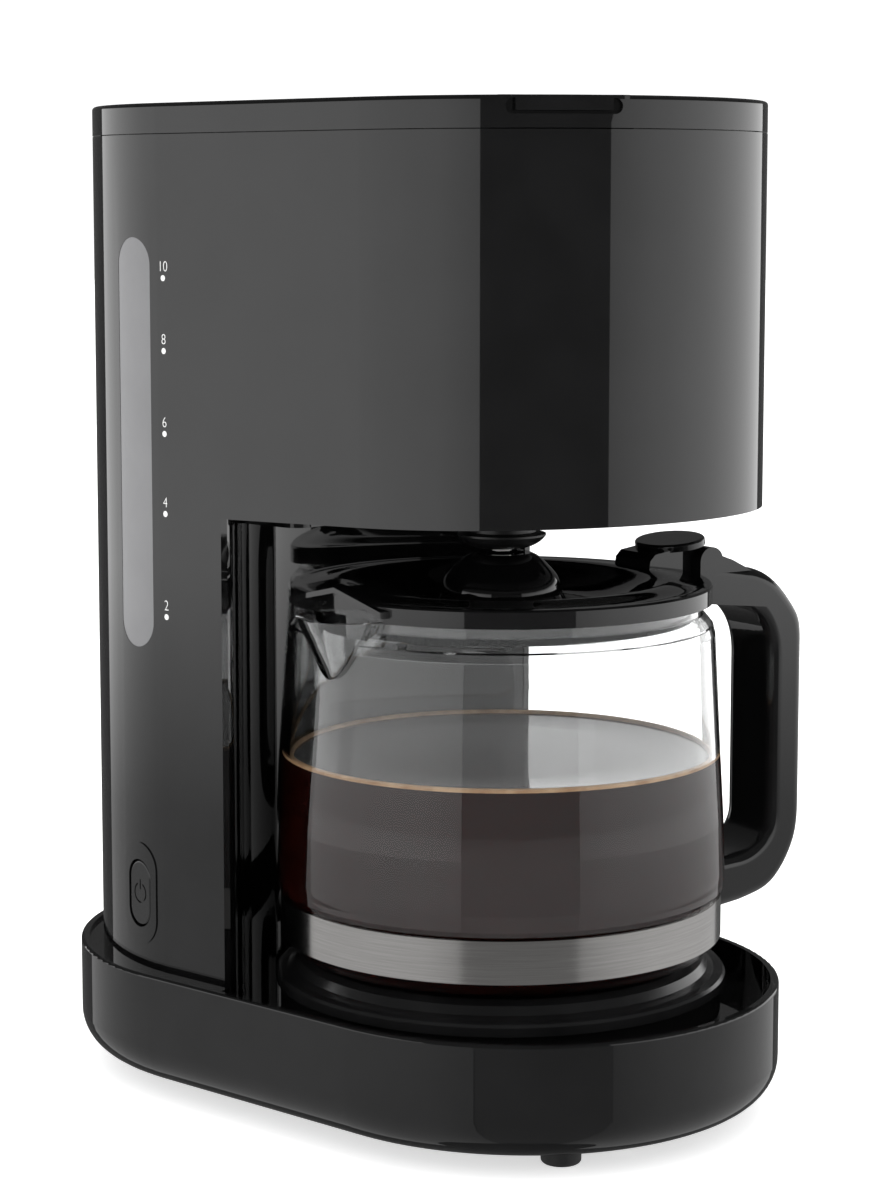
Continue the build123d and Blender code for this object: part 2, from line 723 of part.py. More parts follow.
with BuildPart() as lid_inner:
    with BuildSketch(Plane.XY.offset(INNER_Z)):
        stadium(BODY_R - WALL - 1.2)
    extrude(amount=INNER_T)
    with BuildSketch(Plane.XY.offset(INNER_Z + INNER_T)):
        stadium(BODY_R - WALL - 1.2)
        stadium(BODY_R - WALL - 3.2, mode=Mode.SUBTRACT)
    extrude(amount=LID_TOP_Z - LID_WALL - INNER_Z - INNER_T)
    with BuildSketch(tab_plane.offset(-9)):
        with Locations((0, 300)):
            Rectangle(TAB_W + 8, 20)
    extrude(amount=9, mode=Mode.SUBTRACT)
save(lid_inner, "lid_inner")

with BuildPart() as spreader:
    with BuildSketch(Plane.XY.offset(SPREADER_Z)) as spreader_plan:
        with Locations((0, CARAFE_Y)):
            Circle(SPREADER_R)
        with Locations((0, (CARAFE_Y + 38) / 2)):
            Rectangle(28, 38 - CARAFE_Y)
    extrude(amount=INNER_Z - SPREADER_Z)
    with BuildSketch(Plane.XY.offset(SPREADER_Z + SPREADER_T)):
        add(offset(spreader_plan.sketch_local, -SPREADER_T, mode=Mode.PRIVATE))
    extrude(amount=20, mode=Mode.SUBTRACT)
    # the gap that the riser's jet comes in by, and the shower holes
    with Locations((0, 37, SPREADER_Z + 8)):
        Box(14, 6, 9, mode=Mode.SUBTRACT)
    with Locations((0, CARAFE_Y, SPREADER_Z)):
        for ring_r, count in ((7, 6), (14, 10), (20, 14)):
            with PolarLocations(ring_r, count):
                Cylinder(1.3, 6, mode=Mode.SUBTRACT)
save(spreader, "spreader")

with BuildPart() as lid_hinge_pin:
    with Locations(Location((0, HINGE_Y, HINGE_Z), (0, 90, 0))):
        Cylinder(PIN_R, 33)
save(lid_hinge_pin, "lid_hinge_pin")

# Filter basket with its spigot, drip stop and permanent filter
with BuildPart() as filter_basket:
    with BuildSketch(carafe_section):
        with BuildLine():
            saucer = Spline((5.6, SPIGOT_TIP_Z), (9.4, 174.0), (12.2, 175.6), (SAUCER_R, SAUCER_Z))
            Polyline(
                saucer @ 1,
                (SAUCER_R, SAUCER_Z + 0.6),
                (SPIGOT_R, SAUCER_Z + 1.2),
                (SPIGOT_R, BASKET_Z),
                (BASKET_FOOT_R, BASKET_Z),
                (BASKET_TOP_R, BASKET_RIM_Z - 2),
                (BASKET_TOP_R + 3.5, BASKET_RIM_Z - 2),
                (BASKET_TOP_R + 3.5, BASKET_RIM_Z),
                (BASKET_TOP_R - BASKET_T, BASKET_RIM_Z),
                (BASKET_FOOT_R - BASKET_T, BASKET_Z + 5),
                (8.7, BASKET_Z + 2),
                (8.7, SEAT_Z),
                (4.0, SEAT_Z),
                (4.0, SPIGOT_TIP_Z),
                saucer @ 0,
            )
        make_face()
    revolve(axis=carafe_axis)
save(filter_basket, "filter_basket")

with BuildPart() as mesh_filter:
    with BuildSketch(carafe_section):
        with BuildLine():
            Polyline(
                (0, 205),
                (30, 205),
                (51.5, BASKET_RIM_Z),
                (BASKET_TOP_R + 2, BASKET_RIM_Z),
                (BASKET_TOP_R + 2, BASKET_RIM_Z + 1),
                (50.7, BASKET_RIM_Z + 1),
                (29.3, 206),
                (0, 206),
                close=True,
            )
        make_face()
    revolve(axis=carafe_axis)
    with Locations((0, CARAFE_Y, 205)):
        for ring_r, count in ((8, 8), (15, 14), (22, 20)):
            with PolarLocations(ring_r, count):
                Box(2.4, 1.2, 6, mode=Mode.SUBTRACT)
save(mesh_filter, "mesh_filter")

with BuildPart() as valve_pin:
    with Locations((0, CARAFE_Y, VALVE_TIP_Z)):
        Cylinder(3, SEAT_Z - VALVE_TIP_Z, align=(Align.CENTER, Align.CENTER, Align.MIN))
        Cylinder(1.6, 24, align=(Align.CENTER, Align.CENTER, Align.MIN))
save(valve_pin, "valve_pin")

with BuildPart() as valve_seal:
    with BuildSketch(Plane.XY.offset(SEAT_Z + SEAL_OPEN)):
        with Locations((0, CARAFE_Y)):
            Circle(7)
            Circle(1.6, mode=Mode.SUBTRACT)
    extrude(amount=1.5)
save(valve_seal, "valve_seal")

with BuildPart() as valve_cage:
    with BuildSketch(Plane.XY.offset(CAGE_Z)):
        with Locations((0, CARAFE_Y)):
            Circle(8.7)
            Circle(7.4, mode=Mode.SUBTRACT)
            Circle(3.4)
            with PolarLocations(0, 3):
                with Locations((4, 0)):
                    Rectangle(8, 1.6)
            Circle(1.65, mode=Mode.SUBTRACT)
    extrude(amount=1.6)
save(valve_cage, "valve_cage")

spring_low = SEAT_Z + SEAL_OPEN + 1.5 + SPRING_WIRE
spring_high = CAGE_Z - SPRING_WIRE
with BuildPart() as valve_spring:
    with BuildLine() as coil:
        Helix(
            pitch=(spring_high - spring_low) / 3,
            height=spring_high - spring_low,
            radius=2.6,
            center=(0, CARAFE_Y, spring_low),
        )
    with BuildSketch(Plane(origin=coil.wire() @ 0, z_dir=coil.wire() % 0)):
        Circle(SPRING_WIRE)
    sweep(path=coil.wire(), is_frenet=True)
save(valve_spring, "valve_spring")

# Carafe: the glass is turned, then the spout is drawn out of its rim
outer_profile = [
    (0, GLASS_Z),
    (57, GLASS_Z),
    (64.5, 49.6),
    (BAND_R, 53.4),
    (BAND_R, 66.8),
    (69.4, 69.2),
    (69.6, 74),
    (69.1, 90),
    (67.9, 110),
    (66.3, 140),
    (65.9, 147.5),
    (65.2, 150.4),
    (63.6, 152.4),
    (62.2, 153.9),
    (62.2, GLASS_RIM_Z),
]
inner_profile = [
    (60.0, GLASS_RIM_Z),
    (60.0, 153.1),
    (61.8, 151.0),
    (63.1, 149.4),
    (63.7, 147.0),
    (64.1, 140),
    (65.7, 110),
    (66.9, 90),
    (67.4, 74),
    (67.1, 69.6),
    (65.7, 66.8),
    (65.7, 54.6),
    (63.2, 51.6),
    (57, GLASS_Z + GLASS_T),
    (0, GLASS_Z + GLASS_T),
]
spout_x = cos(radians(SPOUT_ANGLE))
spout_y = sin(radians(SPOUT_ANGLE))
spout_plane = Plane(origin=(0, CARAFE_Y, 0), x_dir=(-spout_y, spout_x, 0), z_dir=(spout_x, spout_y, 0))


def spout_cone(shrink):
    """Returns a slanted cone, narrow at the shoulder and wide at the rim, for the spout."""
    with BuildPart() as cone:
        for height, reach, radius in ((SPOUT_LOW_Z, 58.0, 8.0), (GLASS_RIM_Z, SPOUT_TIP_R - 17.0, 17.0)):
            with BuildSketch(Plane.XY.offset(height)):
                with Locations((spout_x * reach, CARAFE_Y + spout_y * reach)):
                    Circle(radius - shrink)
        loft()
    return cone.part


spout_outside = spout_cone(0)
spout_inside = spout_cone(GLASS_T)
with BuildPart() as carafe_glass:
    with BuildSketch(carafe_section):
        with BuildLine():
            Polyline(*outer_profile, (0, GLASS_RIM_Z), close=True)
        make_face()
    revolve(axis=carafe_axis)
    add(spout_outside)
    add(spout_inside, mode=Mode.SUBTRACT)
    with BuildSketch(carafe_section):
        with BuildLine():
            Polyline(*inner_profile, (0, 170), (60.0, 170), close=True)
        make_face()
    revolve(axis=carafe_axis, mode=Mode.SUBTRACT)
save(carafe_glass, "carafe_glass")

with BuildPart() as carafe_band:
    with BuildSketch(Plane.XY.offset(BAND_Z)):
        with Locations((0, CARAFE_Y)):
            Circle(BAND_R + 0.7)
            Circle(BAND_R, mode=Mode.SUBTRACT)
    extrude(amount=BAND_H)
save(carafe_band, "carafe_band")

with BuildPart() as carafe_handle:
    with BuildSketch(handle_plane):
        with BuildLine():
            top = Polyline(
                (66, 152), (60, 153.8), (60, 156.8), (69.3, 156.8), (69.3, 163.5), (78, 163.6), (88, 162.2)
            )
            outer_top = Spline(
                top @ 1,
                (101, 157.0),
                (109, 148.5),
                (112.7, 137),
                tangents=(top % 1, (0, -1)),
            )
            grip = Line(outer_top @ 1, (112.7, 88))
            outer_low = Spline(
                grip @ 1, (110.6, 69), (103, 57.8), (88, 52.2), tangents=(grip % 1, (-1, -0.2))
            )
            low = Polyline(outer_low @ 1, (66, 49.6), (66, 66.4), (86, 67.6))
            inner_low = Spline(low @ 1, (95.5, 71), (99.9, 80), tangents=(low % 1, (0, 1)))
            inner_grip = Line(inner_low @ 1, (99.9, 130))
            inner_top = Spline(
                inner_grip @ 1, (97, 142.5), (88, 149.6), tangents=(inner_grip % 1, (-1, 0.3))
            )
            Line(inner_top @ 1, top @ 0)
        make_face()
    extrude(amount=HANDLE_W / 2, both=True)
    cheeks = carafe_handle.faces().sort_by(Axis((0, 0, 0), (handle_y, -handle_x, 0)))
    cheek_edges = cheeks[0].edges() + cheeks[-1].edges()
    fillet(cheek_edges.filter_by(lambda edge: edge.length > 12 and edge.center().X > 80), HANDLE_ROUND)
    # the lower arm sits on the band, the upper arm on the neck
    with Locations((0, CARAFE_Y, 0)):
        Cylinder(BAND_R + 0.7, 68, align=(Align.CENTER, Align.CENTER, Align.MIN), mode=Mode.SUBTRACT)
        with Locations((0, 0, 68)):
            Cylinder(69.9, 80.4, align=(Align.CENTER, Align.CENTER, Align.MIN), mode=Mode.SUBTRACT)
        with Locations((0, 0, 148.4)):
            Cylinder(65.9, 5.4, align=(Align.CENTER, Align.CENTER, Align.MIN), mode=Mode.SUBTRACT)
            Cylinder(62.2, 20, align=(Align.CENTER, Align.CENTER, Align.MIN), mode=Mode.SUBTRACT)
        with Locations((0, 0, 156.8)):
            Cylinder(65.9, 20, align=(Align.CENTER, Align.CENTER, Align.MIN), mode=Mode.SUBTRACT)
    # two ears for the lid's hinge pin
    for side in (-1, 1):
        with BuildSketch(handle_plane.offset(side * EAR_X)):
            with Locations((CARAFE_PIN_R, CARAFE_PIN_Z)):
                Circle(4.6)
            with Locations((CARAFE_PIN_R, CARAFE_PIN_Z - 2)):
                Rectangle(9.2, 4)
            with BuildLine():
                Polyline(
                    (CARAFE_PIN_R, CARAFE_PIN_Z + 3),
                    (82, CARAFE_PIN_Z),
                    (90, 161),
                    (CARAFE_PIN_R, 161),
                    close=True,
                )
            make_face()
        extrude(amount=2.3, both=True)
    with BuildSketch(handle_plane):
        with Locations((CARAFE_PIN_R, CARAFE_PIN_Z)):
            Circle(PIN_R)
    extrude(amount=HANDLE_W, both=True, mode=Mode.SUBTRACT)
    with BuildSketch(handle_plane):
        with Locations((CARAFE_PIN_R, CARAFE_PIN_Z)):
            Circle(6.4)
            with Locations((-6, -1)):
                Rectangle(12, 10.8)
    extrude(amount=KNUCKLE_W / 2 + 0.2, both=True, mode=Mode.SUBTRACT)
    # the screw that draws the band tight, at the bottom of a deep hole
    with BuildSketch(radial_plane):
        Circle(2)
    extrude(amount=SCREW_HEAD_R, mode=Mode.SUBTRACT)
    with BuildSketch(radial_plane.offset(SCREW_HEAD_R)):
        Circle(3.6)
    extrude(amount=40, mode=Mode.SUBTRACT)
save(carafe_handle, "carafe_handle")

with BuildPart() as band_screw:
    with BuildSketch(radial_plane.offset(BAND_R + 0.7)):
        Circle(2)
    extrude(amount=SCREW_HEAD_R - BAND_R - 0.7)
    with BuildSketch(radial_plane.offset(SCREW_HEAD_R)):
        Circle(3.4)
    extrude(amount=2.4)
    with BuildSketch(radial_plane.offset(SCREW_HEAD_R + 1.4)):
        Rectangle(4, 0.8)
        Rectangle(0.8, 4)
    extrude(amount=2, mode=Mode.SUBTRACT)
    # the neck ends where it meets the round band
    with BuildSketch():
        with Locations((0, CARAFE_Y)):
            Circle(BAND_R + 0.7)
    extrude(amount=100, mode=Mode.SUBTRACT)
save(band_screw, "band_screw")

with BuildPart() as carafe_lid_pin:
    with BuildSketch(handle_plane):
        with Locations((CARAFE_PIN_R, CARAFE_PIN_Z)):
            Circle(PIN_R)
    extrude(amount=12, both=True)
save(carafe_lid_pin, "carafe_lid_pin")

with BuildPart() as carafe_lid:
    with BuildSketch(carafe_section):
        with BuildLine():
            outside = Polyline((LID_RIM_R, LID_LOW_Z), (LID_RIM_R, LID_HIGH_Z - 0.6))
            Polyline(outside @ 1, (LID_RIM_R - 0.6, LID_HIGH_Z), (62.6, LID_HIGH_Z))
            dish = Spline(
                (62.6, LID_HIGH_Z),
                (55, 163.3),
                (48.5, 163.5),
                (44, 161.6),
                (36, 158.0),
                (23, 156.5),
            )
            flare = Polyline(dish @ 1, (20.4, 157.2), (18.9, 159.4))
            dome = Spline(
                flare @ 1,
                (18.6, 161.6),
                (17.6, 164.2),
                (14.6, 167.8),
                (11.4, 170.7),
                (9.6, DOME_Z - 0.2),
            )
            Polyline(
                dome @ 1,
                (9.2, DOME_Z),
                (DOME_HOLE_R, DOME_Z),
                (DOME_HOLE_R, 169.8),
                (9.6, 169.5),
                (12.9, 166.6),
                (15.8, 163.4),
                (16.8, 160.4),
                (16.9, 157.2),
                (19.0, 155.0),
                (23, 154.6),
                (36, 156.0),
                (43, 159.2),
                (48.2, 161.5),
                (56.8, 161.3),
                (56.8, 151),
                (58.6, 151),
                (58.6, LID_LOW_Z),
                (LID_RIM_R, LID_LOW_Z),
            )
        make_face()
    revolve(axis=carafe_axis)
    # raised hood over the spout, open below and in front
    with BuildSketch(spout_plane.offset(HOOD_BACK_R)):
        with BuildLine():
            Polyline(
                (-HOOD_W, HOOD_Z - 1),
                (-HOOD_W, HOOD_Z + 1),
                (0, HOOD_TOP_Z),
                (HOOD_W, HOOD_Z + 1),
                (HOOD_W, HOOD_Z - 1),
                close=True,
            )
        make_face()
    extrude(amount=HOOD_R - HOOD_BACK_R)
    with BuildSketch(spout_plane.offset(HOOD_CUT_R)):
        with BuildLine():
            Polyline(
                (-HOOD_CUT_W, LID_LOW_Z - 0.1),
                (-HOOD_CUT_W, HOOD_Z),
                (0, HOOD_TOP_Z - HOOD_T),
                (HOOD_CUT_W, HOOD_Z),
                (HOOD_CUT_W, LID_LOW_Z - 0.1),
                close=True,
            )
        make_face()
    extrude(amount=10, mode=Mode.SUBTRACT)
    # lever block on the handle's side, standing on the lid's ring
    with BuildSketch(handle_plane):
        with BuildLine():
            Polyline(
                (50.5, 162.4), (51.0, 166.2), (53.0, 168.2), (64, 169.8), (64, 162.4), close=True
            )
        make_face()
    extrude(amount=LEVER_W / 2, both=True)
    # knuckle between the handle's ears
    with BuildSketch(handle_plane):
        with BuildLine():
            Polyline(
                (60, 160.8),
                (60, 169.2),
                (CARAFE_PIN_R, CARAFE_PIN_Z + KNUCKLE_R),
                (CARAFE_PIN_R, CARAFE_PIN_Z - KNUCKLE_R),
                close=True,
            )
        make_face()
        with Locations((CARAFE_PIN_R, CARAFE_PIN_Z)):
            Circle(KNUCKLE_R)
            Circle(PIN_R + RUNNING_GAP, mode=Mode.SUBTRACT)
    extrude(amount=KNUCKLE_W / 2, both=True)
    # oval thumb plate, rising towards the handle
    thumb_plane = Plane(
        origin=(handle_x * THUMB_R, CARAFE_Y + handle_y * THUMB_R, THUMB_Z),
        x_dir=(handle_x, handle_y, THUMB_RISE),
        z_dir=(-handle_x * THUMB_RISE, -handle_y * THUMB_RISE, 1),
    )
    with BuildSketch(thumb_plane):
        Ellipse(THUMB_LONG, THUMB_WIDE)
    extrude(amount=2.4)
    fillet(carafe_lid.faces().sort_by(Axis.Z)[-1].edges(), 0.8)
save(carafe_lid, "carafe_lid")
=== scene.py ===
"""Drip coffee maker: looks, extra pieces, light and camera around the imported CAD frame."""

import json
import math

import bmesh
import bpy
from mathutils import Matrix, Vector


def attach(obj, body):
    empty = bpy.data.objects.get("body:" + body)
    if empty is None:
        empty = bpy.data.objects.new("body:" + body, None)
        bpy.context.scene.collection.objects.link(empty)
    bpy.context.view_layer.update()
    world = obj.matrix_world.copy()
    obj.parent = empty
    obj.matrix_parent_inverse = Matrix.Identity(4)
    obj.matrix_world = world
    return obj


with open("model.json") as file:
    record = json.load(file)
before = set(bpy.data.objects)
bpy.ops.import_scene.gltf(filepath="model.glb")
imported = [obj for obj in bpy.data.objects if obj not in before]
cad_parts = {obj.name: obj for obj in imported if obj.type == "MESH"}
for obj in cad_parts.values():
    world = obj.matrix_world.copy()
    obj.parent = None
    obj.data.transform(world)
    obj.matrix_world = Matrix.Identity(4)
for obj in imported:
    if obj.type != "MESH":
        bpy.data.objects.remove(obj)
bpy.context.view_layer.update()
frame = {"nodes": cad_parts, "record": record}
nodes = frame["nodes"]
scene = bpy.context.scene

# Carafe's axis, the coffee's level and the froth round its edge, in metres, in the frame of the CAD
CARAFE_Y = -0.03365
AXIS_R = 0.00002
COFFEE_Z = 0.1098
FOAM_R = 0.0658
FOAM_HALF_W = 0.0008
FOAM_HALF_H = 0.0010
FOAM_RISE = 0.0003
FOAM_STEPS = 12

# Printed marks: on the body beside the window, and one on the glass
MARK_X = -0.07304
MARK_Y = 0.0390
MARK_SIZE = 0.0046
MARK_RISE = 0.0034
DOT_R = 0.00092
MARKS = (("10", 0.2560), ("8", 0.2340), ("6", 0.2088), ("4", 0.1843), ("2", 0.1525))
GLASS_MARK_R = 0.06625
GLASS_MARK_ANGLE = math.radians(-106.2)
GLASS_MARK_Z = 0.1403
GLASS_MARK_SIZE = 0.0040
GLASS_MARK_RISE = 0.0029
GLASS_MARK_PROUD = 0.0002
GLASS_DOT_R = 0.0008
PRINT_HALF_T = 0.00003
PRINT_THINNER = -0.00009
PRINT_WIDTH = 0.92
DOT_STEPS = 32

# Refractive indices
PLASTIC_IOR = 1.5
GLASS_IOR = 1.47
COFFEE_IOR = 1.34

# Light cards: how far off they stand, their ends, and the heights between which they change
CARD_R = 0.95
FLAG_R = 1.1
CARD_LOW_Z = -3.0
CARD_HIGH_Z = 0.42
CARD_DIM_Z = 0.34
CARD_COLUMNS = 48
CARD_ROWS = 160
CARD_FOOT = 0.36
CARD_FADE = (0.06, -0.10)
FLAG_FADE = (-0.12, -0.26)

# The light above, the world (for most rays, and for mirrored ones) and the floor
TOP_SIZE = 1.6
TOP_POWER = 10.0
TOP_Z = 1.9
WORLD_BRIGHT = 1.15
WORLD_MIRRORED = 0.10
FLOOR_R = 9.0
FLOOR_Z = -0.0002
FLOOR_GLOW = 0.60

# Camera: place, direction of view, lens in millimetres and shift
CAMERA_PLACE = (-0.6805, -0.6044, 0.2807)
CAMERA_LOOK = Vector((0.74339, 0.65727, -0.12424))
CAMERA_LENS = 87.10
CAMERA_SHIFT = (0.0122, -0.0339)


# ---------------------------------------------------------------- materials
def start_material(name):
    """Returns a new material's node tree with its shader and its frame coordinates."""
    material = bpy.data.materials.new(name)
    material.use_nodes = True
    tree = material.node_tree
    tree.nodes.clear()
    output = tree.nodes.new("ShaderNodeOutputMaterial")
    shader = tree.nodes.new("ShaderNodeBsdfPrincipled")
    place = tree.nodes.new("ShaderNodeTexCoord")
    tree.links.new(shader.outputs["BSDF"], output.inputs["Surface"])
    return material, tree, shader, place


def stretched(tree, place, scale):
    """Returns object coordinates stretched by a scale for each axis."""
    mapping = tree.nodes.new("ShaderNodeMapping")
    mapping.inputs["Scale"].default_value = scale
    tree.links.new(place.outputs["Object"], mapping.inputs["Vector"])
    return mapping.outputs["Vector"]


def noise(tree, vector, scale, detail=3.0, rough=0.55):
    """Returns the factor of a noise texture."""
    texture = tree.nodes.new("ShaderNodeTexNoise")
    texture.inputs["Scale"].default_value = scale
    texture.inputs["Detail"].default_value = detail
    texture.inputs["Roughness"].default_value = rough
    tree.links.new(vector, texture.inputs["Vector"])
    return texture.outputs["Fac"]


def ranged(tree, value, low, high):
    """Maps the middle of a texture's range onto low to high."""
    node = tree.nodes.new("ShaderNodeMapRange")
    node.inputs["From Min"].default_value = 0.3
    node.inputs["From Max"].default_value = 0.7
    node.inputs["To Min"].default_value = low
    node.inputs["To Max"].default_value = high
    tree.links.new(value, node.inputs["Value"])
    return node.outputs["Result"]


def mottled(tree, value, first, second):
    """Mixes two colours by a texture."""
    ramp = tree.nodes.new("ShaderNodeValToRGB")
    ramp.color_ramp.elements[0].position = 0.35
    ramp.color_ramp.elements[0].color = (*first, 1)
    ramp.color_ramp.elements[1].position = 0.65
    ramp.color_ramp.elements[1].color = (*second, 1)
    tree.links.new(value, ramp.inputs["Fac"])
    return ramp.outputs["Color"]


def add_bump(tree, shader, height, strength, distance):
    """Adds a bump from a texture to the shader."""
    bump = tree.nodes.new("ShaderNodeBump")
    bump.inputs["Strength"].default_value = strength
    bump.inputs["Distance"].default_value = distance
    tree.links.new(height, bump.inputs["Height"])
    tree.links.new(bump.outputs["Normal"], shader.inputs["Normal"])


def plastic(name, colours, rough, grain, bump, metallic=0.0):
    """Moulded plastic, rubber, enamel or plain metal: cloudy colour, uneven gloss and a fine grain."""
    material, tree, shader, place = start_material(name)
    vector = place.outputs["Object"]
    cloud = noise(tree, vector, 38.0)
    tree.links.new(mottled(tree, cloud, *colours), shader.inputs["Base Color"])
    tree.links.new(ranged(tree, noise(tree, vector, 120.0), *rough), shader.inputs["Roughness"])
    add_bump(tree, shader, noise(tree, vector, grain, 2.0), bump[0], bump[1])
    shader.inputs["Metallic"].default_value = metallic
    shader.inputs["IOR"].default_value = PLASTIC_IOR
    return material


def brushed(name, colours, rough, stretch):
    """Steel brushed along one direction: the lines come from stretched noise."""
    material, tree, shader, place = start_material(name)
    vector = stretched(tree, place, stretch)
    lines = noise(tree, vector, 60.0, 6.0, 0.7)
    tree.links.new(mottled(tree, lines, *colours), shader.inputs["Base Color"])
    tree.links.new(ranged(tree, lines, *rough), shader.inputs["Roughness"])
    add_bump(tree, shader, lines, 0.12, 0.00004)
    shader.inputs["Metallic"].default_value = 1.0
    return material


def glass(name):
    """Clear heat-resistant glass with the faintest waviness and a breath of haze."""
    material, tree, shader, place = start_material(name)
    vector = place.outputs["Object"]
    tint = mottled(tree, noise(tree, vector, 12.0), (0.985, 0.99, 0.99), (0.97, 0.98, 0.98))
    tree.links.new(tint, shader.inputs["Base Color"])
    tree.links.new(ranged(tree, noise(tree, vector, 90.0), 0.0, 0.012), shader.inputs["Roughness"])
    add_bump(tree, shader, noise(tree, vector, 9.0, 1.0), 0.05, 0.0006)
    shader.inputs["Transmission Weight"].default_value = 1.0
    shader.inputs["IOR"].default_value = GLASS_IOR
    return material


def coffee(name):
    """Black coffee: deep red-brown, with faint clouds in it."""
    material, tree, shader, place = start_material(name)
    vector = place.outputs["Object"]
    cloud = noise(tree, vector, 24.0, 4.0)
    tint = mottled(tree, cloud, (0.0105, 0.0010, 0.0007), (0.0155, 0.0020, 0.0014))
    tree.links.new(tint, shader.inputs["Base Color"])
    tree.links.new(ranged(tree, noise(tree, vector, 60.0), 0.03, 0.08), shader.inputs["Roughness"])
    add_bump(tree, shader, noise(tree, vector, 30.0, 1.0), 0.03, 0.0004)
    shader.inputs["IOR"].default_value = COFFEE_IOR
    return material


def foam(name):
    """Fine tan froth along the edge of the coffee."""
    material, tree, shader, place = start_material(name)
    vector = place.outputs["Object"]
    bubbles = tree.nodes.new("ShaderNodeTexVoronoi")
    bubbles.inputs["Scale"].default_value = 1400.0
    tree.links.new(vector, bubbles.inputs["Vector"])
    cloud = noise(tree, vector, 160.0, 4.0)
    tint = mottled(tree, cloud, (0.42, 0.24, 0.12), (0.62, 0.42, 0.25))
    tree.links.new(tint, shader.inputs["Base Color"])
    tree.links.new(ranged(tree, cloud, 0.35, 0.6), shader.inputs["Roughness"])
    add_bump(tree, shader, bubbles.outputs["Distance"], 0.5, 0.0003)
    return material


def woven(name):
    """Amber filter mesh: two crossed waves make the weave."""
    material, tree, shader, place = start_material(name)
    vector = place.outputs["Object"]
    threads = []
    for axis in ("X", "Z"):
        wave = tree.nodes.new("ShaderNodeTexWave")
        wave.bands_direction = axis
        wave.inputs["Scale"].default_value = 420.0
        tree.links.new(vector, wave.inputs["Vector"])
        threads.append(wave.outputs["Fac"])
    cross = tree.nodes.new("ShaderNodeMath")
    cross.operation = "MAXIMUM"
    tree.links.new(threads[0], cross.inputs[0])
    tree.links.new(threads[1], cross.inputs[1])
    weave = cross.outputs["Value"]
    tint = mottled(tree, weave, (0.20, 0.13, 0.05), (0.55, 0.42, 0.20))
    tree.links.new(tint, shader.inputs["Base Color"])
    tree.links.new(ranged(tree, weave, 0.3, 0.5), shader.inputs["Roughness"])
    add_bump(tree, shader, weave, 0.6, 0.0002)
    return material


def grey(value):
    """A neutral grey with a breath of blue."""
    return (value, value, value * 1.03)


def pair(low, high):
    """Two greys for a mottled colour."""
    return grey(low), grey(high)


MATERIALS = {
    "gloss_black": plastic("gloss_black", pair(0.0035, 0.0055), (0.02, 0.045), 260.0, (0.015, 0.00006)),
    "matte_black": plastic("matte_black", pair(0.008, 0.013), (0.32, 0.46), 1400.0, (0.25, 0.00006)),
    "rubber_black": plastic("rubber_black", pair(0.010, 0.016), (0.55, 0.75), 900.0, (0.35, 0.0001)),
    "screw_steel": plastic("screw_steel", pair(0.42, 0.56), (0.22, 0.38), 700.0, (0.12, 0.00005), 1.0),
    "plate_coating": plastic("plate_coating", pair(0.006, 0.010), (0.16, 0.26), 1700.0, (0.2, 0.00005)),
    "silicone_grey": plastic("silicone_grey", pair(0.28, 0.36), (0.4, 0.55), 500.0, (0.12, 0.0001)),
    "cast_aluminium": plastic("cast_aluminium", pair(0.55, 0.68), (0.3, 0.45), 600.0, (0.3, 0.0001), 1.0),
    "steel_bright": plastic("steel_bright", pair(0.55, 0.66), (0.12, 0.2), 500.0, (0.08, 0.00004), 1.0),
    "black_phenolic": plastic("black_phenolic", pair(0.014, 0.022), (0.3, 0.42), 800.0, (0.2, 0.0001)),
    "fuse_sleeve": plastic(
        "fuse_sleeve",
        ((0.62, 0.60, 0.54), (0.74, 0.73, 0.68)),
        (0.5, 0.7),
        1200.0,
        (0.5, 0.0001),
    ),
    "tank_smoke": plastic("tank_smoke", pair(0.16, 0.21), (0.2, 0.32), 300.0, (0.05, 0.0001)),
    "valve_white": plastic(
        "valve_white",
        ((0.66, 0.66, 0.63), (0.74, 0.74, 0.71)),
        (0.3, 0.42),
        400.0,
        (0.08, 0.0001),
    ),
    "silicone_clear": plastic(
        "silicone_clear",
        ((0.5, 0.51, 0.5), (0.6, 0.6, 0.59)),
        (0.25, 0.4),
        300.0,
        (0.06, 0.0001),
    ),
    "window_grey": plastic("window_grey", pair(0.150, 0.165), (0.05, 0.09), 420.0, (0.03, 0.00006)),
    "filter_mesh": woven("filter_mesh"),
    "clear_glass": glass("clear_glass"),
    "satin_steel": brushed(
        "satin_steel",
        ((0.43, 0.42, 0.41), (0.51, 0.50, 0.49)),
        (0.13, 0.19),
        (0.6, 0.6, 40.0),
    ),
}
MARK_PAINT = plastic(
    "mark_paint",
    ((0.80, 0.80, 0.79), (0.88, 0.88, 0.87)),
    (0.3, 0.4),
    900.0,
    (0.05, 0.00003),
)

for part in frame["record"]["subparts"]:
    node = nodes[part["node"]]
    node.data.materials.clear()
    node.data.materials.append(MATERIALS[part["material_slot"]])


